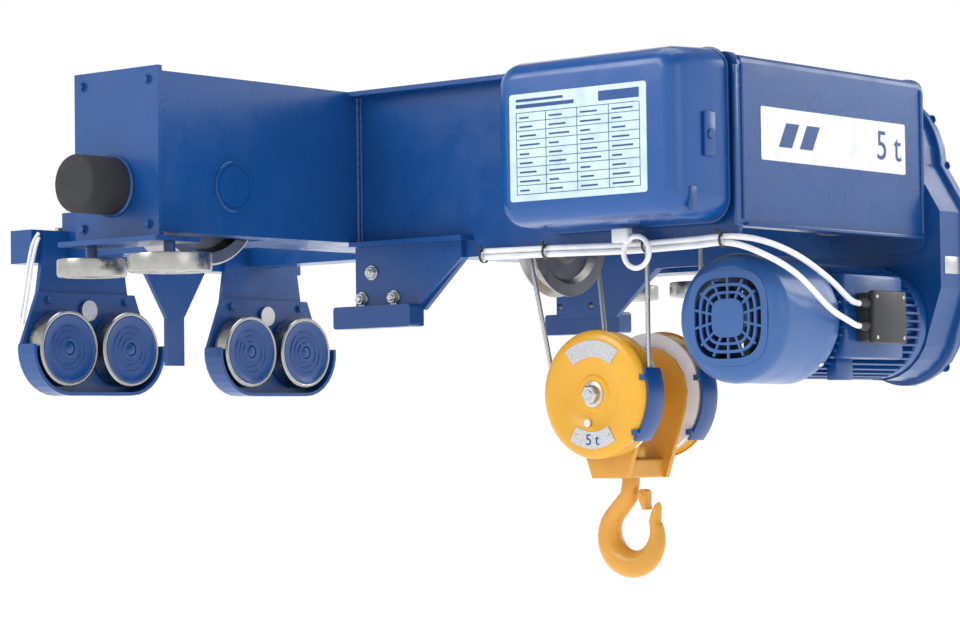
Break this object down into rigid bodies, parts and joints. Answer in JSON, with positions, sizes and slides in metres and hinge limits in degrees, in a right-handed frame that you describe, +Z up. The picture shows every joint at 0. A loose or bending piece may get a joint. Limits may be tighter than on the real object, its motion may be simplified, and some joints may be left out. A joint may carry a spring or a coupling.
{
  "type": "wire rope hoist trolley",
  "caption": "Electric wire rope hoist on a side-hung trolley with load wheels, counter-pressure bogies, drum, gearbox, motor, control box, bottom block and hook.",
  "frame": {"origin": "on the top of the rail, at its middle and half way along the trolley", "axes": "+X from the rail towards the hoist, +Y along the travel with the buffer and control box end at -Y, +Z up"},
  "size_m": [2.033, 2.0646, 1.0412],
  "materials": {
    "blue_paint": "gloss",
    "steel": "machined",
    "zinc": "zinc plated",
    "rubber": "matte",
    "orange_paint": "satin",
    "black_plastic": "matte",
    "wire_rope": "stranded wire",
    "white_sheath": "smooth sheath"
  },
  "bodies": {
    "trolley": {"main_beam": "blue_paint", "end_plate_front": "blue_paint", "end_plate_rear": "blue_paint", "buffer_front": "rubber", "buffer_rear": "rubber", "guide_bracket_front": "blue_paint", "guide_bracket_rear": "blue_paint", "cross_beam_front": "blue_paint", "cross_beam_rear": "blue_paint", "claw_front": "blue_paint", "claw_rear": "blue_paint", "claw_bolt_1": "zinc", "claw_bolt_2": "zinc", "claw_bolt_3": "zinc", "counter_frame": "blue_paint", "bogie_pin_front": "steel", "bogie_pin_rear": "steel", "drum_housing": "blue_paint", "gearbox_housing": "blue_paint", "gearbox_cover": "blue_paint", "motor_housing": "blue_paint", "fan_cowl": "blue_paint", "terminal_box": "black_plastic", "sheave_carrier": "blue_paint", "rope_anchor": "blue_paint", "control_box": "black_plastic", "power_cable": "white_sheath", "brake_cable": "white_sheath", "rope_fall_anchor": "wire_rope", "rope_fall_front": "wire_rope", "rope_fall_rear": "wire_rope", "rope_fall_drum": "wire_rope"},
    "wheel_front": {"load_wheel_front": "steel"},
    "roller_front_outer": {"guide_roller_front_outer": "steel"},
    "roller_front_inner": {"guide_roller_front_inner": "steel"},
    "rocker_front": {"bogie_front": "blue_paint"},
    "counter_wheel_front_1": {"bogie_wheel_front_1": "blue_paint"},
    "counter_wheel_front_2": {"bogie_wheel_front_2": "blue_paint"},
    "wheel_rear": {"load_wheel_rear": "steel"},
    "roller_rear_outer": {"guide_roller_rear_outer": "steel"},
    "roller_rear_inner": {"guide_roller_rear_inner": "steel"},
    "rocker_rear": {"bogie_rear": "blue_paint"},
    "counter_wheel_rear_1": {"bogie_wheel_rear_1": "blue_paint"},
    "counter_wheel_rear_2": {"bogie_wheel_rear_2": "blue_paint"},
    "cover": {"control_cover": "blue_paint"},
    "block": {"block_yoke": "orange_paint", "block_cover_front": "orange_paint", "block_cover_rear": "orange_paint"},
    "drum_shaft": {"drum": "steel", "drum_gear": "steel"},
    "counter_gears": {"countershaft": "steel"},
    "rotor": {"motor_rotor": "steel", "fan": "black_plastic"},
    "upper_sheave": {"return_sheave": "steel"},
    "sheave_front": {"block_sheave_front": "orange_paint"},
    "sheave_rear": {"block_sheave_rear": "orange_paint"},
    "hook_body": {"hook": "orange_paint"},
    "safety_latch": {"latch": "orange_paint"}
  },
  "joints": [
    {"name": "load_wheel_front_spin", "type": "hinge", "parent": "trolley", "child": "wheel_front", "pos_m": [0, -0.715, 0.1575], "axis": [1, 0, 0], "continuous": true},
    {"name": "roller_front_outer_spin", "type": "hinge", "parent": "trolley", "child": "roller_front_outer", "pos_m": [-0.107, -0.897, 0], "axis": [0, 0, 1], "continuous": true},
    {"name": "roller_front_inner_spin", "type": "hinge", "parent": "trolley", "child": "roller_front_inner", "pos_m": [0.12, -0.897, 0], "axis": [0, 0, 1], "continuous": true},
    {"name": "bogie_front_rock", "type": "hinge", "parent": "trolley", "child": "rocker_front", "pos_m": [-0.79, -0.296, -0.05], "axis": [1, 0, 0], "range_deg": [-3, 3]},
    {"name": "bogie_front_wheel_1_spin", "type": "hinge", "parent": "rocker_front", "child": "counter_wheel_front_1", "pos_m": [-0.76, -0.392, -0.14], "axis": [1, 0, 0], "continuous": true},
    {"name": "bogie_front_wheel_2_spin", "type": "hinge", "parent": "rocker_front", "child": "counter_wheel_front_2", "pos_m": [-0.76, -0.2, -0.14], "axis": [1, 0, 0], "continuous": true},
    {"name": "load_wheel_rear_spin", "type": "hinge", "parent": "trolley", "child": "wheel_rear", "pos_m": [0, 0.715, 0.1575], "axis": [1, 0, 0], "continuous": true},
    {"name": "roller_rear_outer_spin", "type": "hinge", "parent": "trolley", "child": "roller_rear_outer", "pos_m": [-0.107, 0.897, 0], "axis": [0, 0, 1], "continuous": true},
    {"name": "roller_rear_inner_spin", "type": "hinge", "parent": "trolley", "child": "roller_rear_inner", "pos_m": [0.12, 0.897, 0], "axis": [0, 0, 1], "continuous": true},
    {"name": "bogie_rear_rock", "type": "hinge", "parent": "trolley", "child": "rocker_rear", "pos_m": [-0.79, 0.296, -0.05], "axis": [1, 0, 0], "range_deg": [-3, 3]},
    {"name": "bogie_rear_wheel_1_spin", "type": "hinge", "parent": "rocker_rear", "child": "counter_wheel_rear_1", "pos_m": [-0.76, 0.2, -0.14], "axis": [1, 0, 0], "continuous": true},
    {"name": "bogie_rear_wheel_2_spin", "type": "hinge", "parent": "rocker_rear", "child": "counter_wheel_rear_2", "pos_m": [-0.76, 0.392, -0.14], "axis": [1, 0, 0], "continuous": true},
    {"name": "cover_swing", "type": "hinge", "parent": "trolley", "child": "cover", "pos_m": [0.622, -0.3516, 0.2], "axis": [0, 0, 1], "range_deg": [-75, 0]},
    {"name": "hook_travel", "type": "slide", "parent": "trolley", "child": "block", "axis": [0, 0, 1], "range_m": [-6, 0.03], "deforming": ["rope_fall_anchor", "rope_fall_front", "rope_fall_rear", "rope_fall_drum"]},
    {"name": "drum_turn", "type": "hinge", "parent": "trolley", "child": "drum_shaft", "pos_m": [0.9, 0, 0.205], "axis": [0, 1, 0], "range_deg": [-9832.1, 59.1]},
    {"name": "countershaft_turn", "type": "hinge", "parent": "trolley", "child": "counter_gears", "pos_m": [0.97758, 0.39, 0.02883], "axis": [0, 1, 0], "range_deg": [-186, 35206]},
    {"name": "motor_turn", "type": "hinge", "parent": "trolley", "child": "rotor", "pos_m": [0.985, 0, -0.13], "axis": [0, 1, 0], "range_deg": [-120262.9, 611.3]},
    {"name": "return_sheave_turn", "type": "hinge", "parent": "trolley", "child": "upper_sheave", "pos_m": [0.465, -0.087, 0.063], "axis": [1, 0, 0], "range_deg": [-39.3, 5861.5]},
    {"name": "front_sheave_turn", "type": "hinge", "parent": "block", "child": "sheave_front", "pos_m": [0.64, -0.179, -0.273], "axis": [0, 1, 0], "range_deg": [-2874.8, 24.3]},
    {"name": "rear_sheave_turn", "type": "hinge", "parent": "block", "child": "sheave_rear", "pos_m": [0.64, 0.005, -0.273], "axis": [0, 1, 0], "range_deg": [-53, 8604.4]},
    {"name": "hook_swivel", "type": "hinge", "parent": "block", "child": "hook_body", "pos_m": [0.64, -0.087, -0.45], "axis": [0, 0, 1], "continuous": true},
    {"name": "latch_swing", "type": "hinge", "parent": "hook_body", "child": "safety_latch", "pos_m": [0.674, -0.087, -0.479], "axis": [0, 1, 0], "range_deg": [0, 30], "stiffness_Nm_per_rad": 0.4, "springref_deg": -17.19}
  ],
  "couplings": [
    {"joint": "drum_turn", "follows": "hook_travel", "rad_per_m": 28.571},
    {"joint": "countershaft_turn", "follows": "hook_travel", "rad_per_m": -102.38},
    {"joint": "motor_turn", "follows": "hook_travel", "rad_per_m": 349.8},
    {"joint": "return_sheave_turn", "follows": "hook_travel", "rad_per_m": -17.021},
    {"joint": "front_sheave_turn", "follows": "hook_travel", "rad_per_m": 8.3333},
    {"joint": "rear_sheave_turn", "follows": "hook_travel", "rad_per_m": -25}
  ]
}
